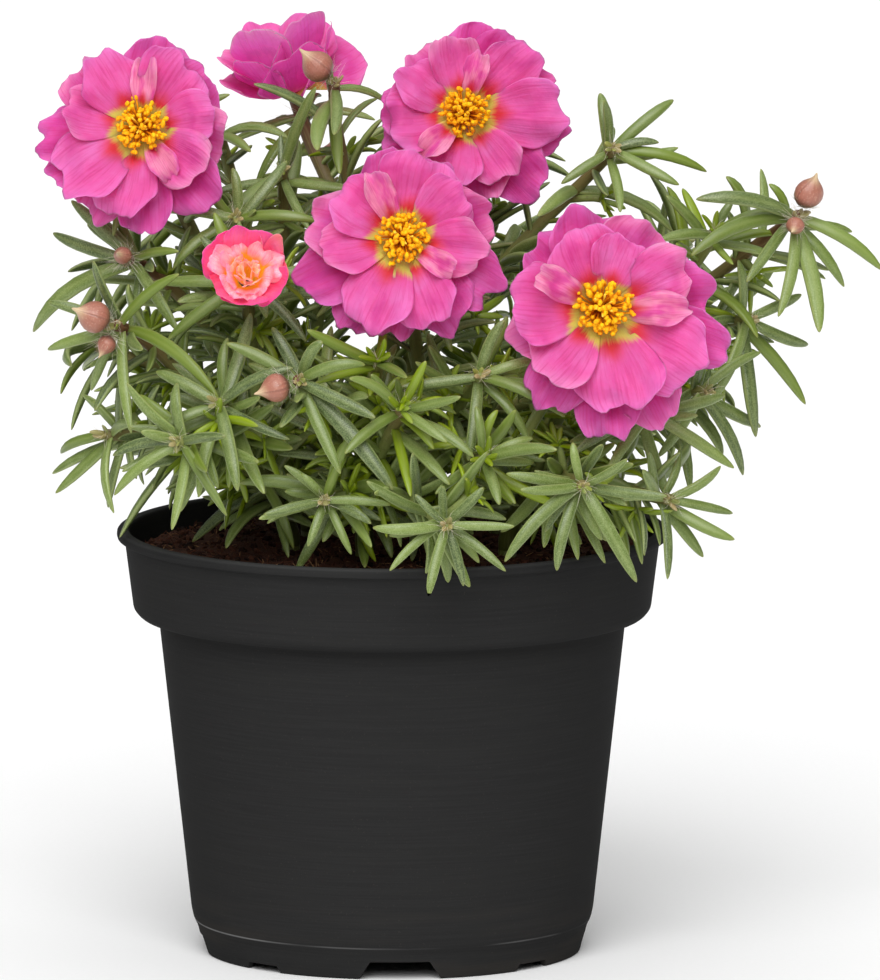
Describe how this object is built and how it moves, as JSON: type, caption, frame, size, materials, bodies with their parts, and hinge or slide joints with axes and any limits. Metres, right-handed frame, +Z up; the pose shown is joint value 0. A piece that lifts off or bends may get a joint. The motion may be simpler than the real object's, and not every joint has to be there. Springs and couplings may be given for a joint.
{
  "type": "potted portulaca",
  "caption": "Moss rose plant with fleshy needle leaves, ruffled open blooms, a half-open bloom and closed buds, growing from soil in a tapered nursery pot.",
  "frame": {"origin": "centre of the pot's foot, on the plane that the pot stands on", "axes": "+Z up, -Y towards the side that most blooms face, +X to the right seen from that side"},
  "size_m": [0.1878, 0.155, 0.2044],
  "materials": {
    "pot": "matte black moulding",
    "soil": "coarse dark peat",
    "leafy_stem": "fleshy, pale green with a frosty bloom",
    "petals": "soft magenta pink, red at the throat",
    "stamens": "orange yellow, powdery",
    "opening_petals": "soft coral pink",
    "opening_heart": "soft cream and orange",
    "bud": "smooth pink brown"
  },
  "bodies": {
    "root": {"pot": "pot", "soil": "soil", "stem_left_front": "leafy_stem", "bud_left": "bud", "bud_left_small": "bud", "bloom_opening_petals": "opening_petals", "bloom_opening_heart": "opening_heart", "stem_left_back": "leafy_stem", "bloom_left_petals": "petals", "bloom_left_stamens": "stamens", "bud_left_upper": "bud", "stem_front": "leafy_stem", "bud_front": "bud", "stem_middle": "leafy_stem", "bloom_middle_petals": "petals", "bloom_middle_stamens": "stamens", "stem_right_front": "leafy_stem", "bloom_right_petals": "petals", "bloom_right_stamens": "stamens", "stem_right_back": "leafy_stem", "bud_right": "bud", "bud_right_small": "bud", "stem_top": "leafy_stem", "bloom_top_petals": "petals", "bloom_top_stamens": "stamens", "bud_top": "bud", "bloom_top_left_petals": "petals", "bloom_top_left_stamens": "stamens", "stem_back_left": "leafy_stem", "bud_back": "bud", "stem_back_right": "leafy_stem"}
  },
  "joints": []
}
